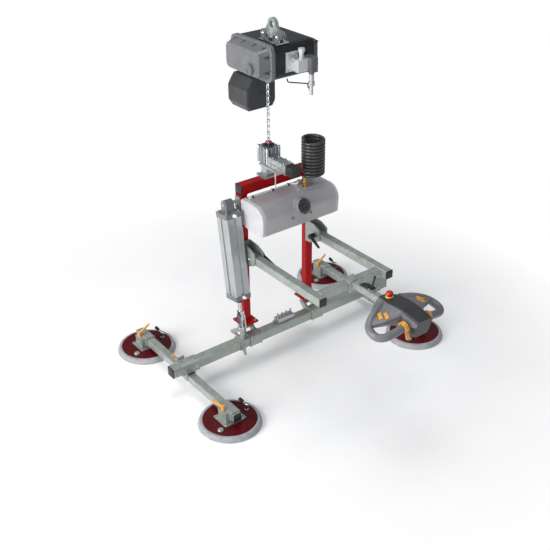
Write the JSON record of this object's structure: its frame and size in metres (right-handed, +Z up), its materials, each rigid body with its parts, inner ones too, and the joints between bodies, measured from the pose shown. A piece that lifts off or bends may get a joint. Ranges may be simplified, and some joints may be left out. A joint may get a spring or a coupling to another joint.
{
  "type": "vacuum glass lifter",
  "caption": "Hanging vacuum lifting frame: chain hoist, swivel, red yoke, tilting beam with suction pads, tilt cylinder, vacuum unit and hand control",
  "frame": {"origin": "centre of the suspension eye hole, from which the whole lifter hangs", "axes": "+Z up, +X along the main beam to the right seen by the operator, -Y towards the operator, the pads face -Z"},
  "size_m": [1.484, 1.5138, 1.685],
  "materials": {
    "aluminium": "anodised, matt",
    "black": "moulded, fine grain",
    "brass": "turned, bright",
    "chrome": "bright plated",
    "cover": "painted casting, satin",
    "dark": "painted casting, fine grain",
    "grip": "moulded, satin",
    "hose": "smooth hose, semi gloss",
    "light": "moulded, satin",
    "maroon": "painted disc, satin",
    "orange": "moulded, semi gloss",
    "red": "powder coat, semi gloss",
    "rubber": "moulded rubber, dull",
    "stop": "moulded, glossy",
    "unit": "painted sheet, satin",
    "zinc": "zinc plated steel tube, satin"
  },
  "bodies": {
    "hoist": {"hoist_body": "dark", "hoist_gear_cover": "cover", "chain_bin": "dark", "suspension_bracket": "chrome", "suspension_eye": "zinc", "control_valve": "aluminium", "air_regulator": "cover"},
    "chain": {"load_chain": "chrome"},
    "cylinder": {"cylinder_barrel": "aluminium", "cylinder_top_cap": "grip", "cylinder_bottom_cap": "grip"},
    "rod": {"piston_rod": "chrome"},
    "suction_frame": {"main_beam": "zinc", "hinge_sleeve_left": "zinc", "hinge_sleeve_right": "zinc", "tilt_lever": "zinc", "vacuum_manifold": "aluminium"},
    "handle_frame": {"operator_arms": "zinc", "handle_mount": "zinc", "handle_body": "grip"},
    "t_bar_left": {"t_bar_left": "zinc"},
    "clamp_lever_left": {"clamp_lever_left": "black"},
    "trigger_left": {"trigger_left": "orange"},
    "t_bar_right": {"t_bar_right": "zinc"},
    "clamp_lever_right": {"clamp_lever_right": "black"},
    "trigger_right": {"trigger_right": "orange"},
    "pad_1": {"pad_disc_1": "maroon", "pad_seal_1": "rubber"},
    "pad_valve_lever_1": {"pad_valve_lever_1": "orange"},
    "pad_2": {"pad_disc_2": "maroon", "pad_seal_2": "rubber"},
    "pad_valve_lever_2": {"pad_valve_lever_2": "orange"},
    "pad_3": {"pad_disc_3": "maroon", "pad_seal_3": "rubber"},
    "pad_valve_lever_3": {"pad_valve_lever_3": "orange"},
    "pad_4": {"pad_disc_4": "maroon", "pad_seal_4": "rubber"},
    "pad_valve_lever_4": {"pad_valve_lever_4": "orange"},
    "rocker_button_left_1": {"rocker_button_left_1": "orange"},
    "rocker_button_left_2": {"rocker_button_left_2": "orange"},
    "rocker_button_right_1": {"rocker_button_right_1": "orange"},
    "rocker_button_right_2": {"rocker_button_right_2": "orange"},
    "emergency_stop": {"emergency_stop": "stop"},
    "yoke": {"arm_bracket_left": "zinc", "arm_bracket_right": "zinc", "cylinder_bracket": "zinc", "hinge_bearing_left": "zinc", "hinge_bearing_right": "zinc", "hose_coil": "hose", "hose_fitting": "brass", "post_left": "red", "post_right": "red", "swivel_arm": "aluminium", "swivel_arm_cap": "black", "swivel_housing": "aluminium", "top_beam": "red", "unit_end_left": "light", "unit_end_right": "light", "unit_housing": "unit", "vacuum_gauge": "light"}
  },
  "joints": [
    {"name": "chain_lift", "type": "slide", "parent": "hoist", "child": "chain", "axis": [0, 0, 1], "range_m": [0, 0.1]},
    {"name": "swivel_turn", "type": "hinge", "parent": "chain", "child": "yoke", "pos_m": [-0.035, 0, -0.555], "axis": [0, 0, 1], "continuous": true},
    {"name": "frame_tilt", "type": "hinge", "parent": "yoke", "child": "suction_frame", "pos_m": [0, 0, -1.487], "axis": [1, 0, 0], "range_deg": [0, 90]},
    {"name": "cylinder_swing", "type": "hinge", "parent": "yoke", "child": "cylinder", "pos_m": [-0.278, 0, -0.785], "axis": [1, 0, 0], "range_deg": [0, 5]},
    {"name": "rod_slide", "type": "slide", "parent": "cylinder", "child": "rod", "axis": [0, -0.1358, -0.9907], "range_m": [0, 0.155]},
    {"name": "t_bar_slide_left", "type": "slide", "parent": "suction_frame", "child": "t_bar_left", "axis": [1, 0, 0], "range_m": [-0.03, 0.2]},
    {"name": "t_bar_slide_right", "type": "slide", "parent": "suction_frame", "child": "t_bar_right", "axis": [-1, 0, 0], "range_m": [-0.03, 0.2]},
    {"name": "pad_slide_1", "type": "slide", "parent": "t_bar_left", "child": "pad_1", "axis": [0, -1, 0], "range_m": [0, 0.15]},
    {"name": "valve_turn_1", "type": "hinge", "parent": "pad_1", "child": "pad_valve_lever_1", "pos_m": [-0.6226, 0.3475, -1.5657], "axis": [0, 0, 1], "range_deg": [0, 90]},
    {"name": "pad_slide_2", "type": "slide", "parent": "t_bar_left", "child": "pad_2", "axis": [0, 1, 0], "range_m": [0, 0.15]},
    {"name": "valve_turn_2", "type": "hinge", "parent": "pad_2", "child": "pad_valve_lever_2", "pos_m": [-0.6226, -0.4125, -1.5657], "axis": [0, 0, 1], "range_deg": [0, 90]},
    {"name": "pad_slide_3", "type": "slide", "parent": "t_bar_right", "child": "pad_3", "axis": [0, -1, 0], "range_m": [0, 0.15]},
    {"name": "valve_turn_3", "type": "hinge", "parent": "pad_3", "child": "pad_valve_lever_3", "pos_m": [0.5614, 0.3475, -1.5657], "axis": [0, 0, 1], "range_deg": [0, 90]},
    {"name": "pad_slide_4", "type": "slide", "parent": "t_bar_right", "child": "pad_4", "axis": [0, 1, 0], "range_m": [0, 0.15]},
    {"name": "valve_turn_4", "type": "hinge", "parent": "pad_4", "child": "pad_valve_lever_4", "pos_m": [0.5614, -0.4125, -1.5657], "axis": [0, 0, 1], "range_deg": [0, 90]},
    {"name": "arm_fold", "type": "hinge", "parent": "yoke", "child": "handle_frame", "pos_m": [0, -0.088, -1.06], "axis": [1, 0, 0], "range_deg": [-30, 60]},
    {"name": "clamp_turn_left", "type": "hinge", "parent": "yoke", "child": "clamp_lever_left", "pos_m": [-0.1975, -0.088, -1.06], "axis": [1, 0, 0], "range_deg": [-45, 45]},
    {"name": "clamp_turn_right", "type": "hinge", "parent": "yoke", "child": "clamp_lever_right", "pos_m": [0.1975, -0.088, -1.06], "axis": [1, 0, 0], "range_deg": [-45, 45]},
    {"name": "stop_press", "type": "slide", "parent": "handle_frame", "child": "emergency_stop", "axis": [0, 0, -1], "range_m": [0, 0.004], "stiffness_N_per_m": 900},
    {"name": "rocker_press_left_1", "type": "slide", "parent": "handle_frame", "child": "rocker_button_left_1", "axis": [0.3105, 0, -0.9506], "range_m": [0, 0.002], "stiffness_N_per_m": 500},
    {"name": "rocker_press_left_2", "type": "slide", "parent": "handle_frame", "child": "rocker_button_left_2", "axis": [0.3171, 0, -0.9484], "range_m": [0, 0.002], "stiffness_N_per_m": 500},
    {"name": "trigger_pull_left", "type": "hinge", "parent": "handle_frame", "child": "trigger_left", "pos_m": [-0.05717, -0.95994, -1.05814], "axis": [0.9679, 0, 0.2514], "range_deg": [0, 10], "stiffness_Nm_per_rad": 0.8},
    {"name": "rocker_press_right_1", "type": "slide", "parent": "handle_frame", "child": "rocker_button_right_1", "axis": [-0.3105, 0, -0.9506], "range_m": [0, 0.002], "stiffness_N_per_m": 500},
    {"name": "rocker_press_right_2", "type": "slide", "parent": "handle_frame", "child": "rocker_button_right_2", "axis": [-0.3171, 0, -0.9484], "range_m": [0, 0.002], "stiffness_N_per_m": 500},
    {"name": "trigger_pull_right", "type": "hinge", "parent": "handle_frame", "child": "trigger_right", "pos_m": [0.07717, -0.95994, -1.05814], "axis": [0.9679, 0, -0.2514], "range_deg": [0, 10], "stiffness_Nm_per_rad": 0.8}
  ],
  "couplings": [
    {"joint": "cylinder_swing", "follows": "frame_tilt", "ratio": 0.03846},
    {"joint": "rod_slide", "follows": "frame_tilt", "m_per_rad": 0.09185}
  ]
}
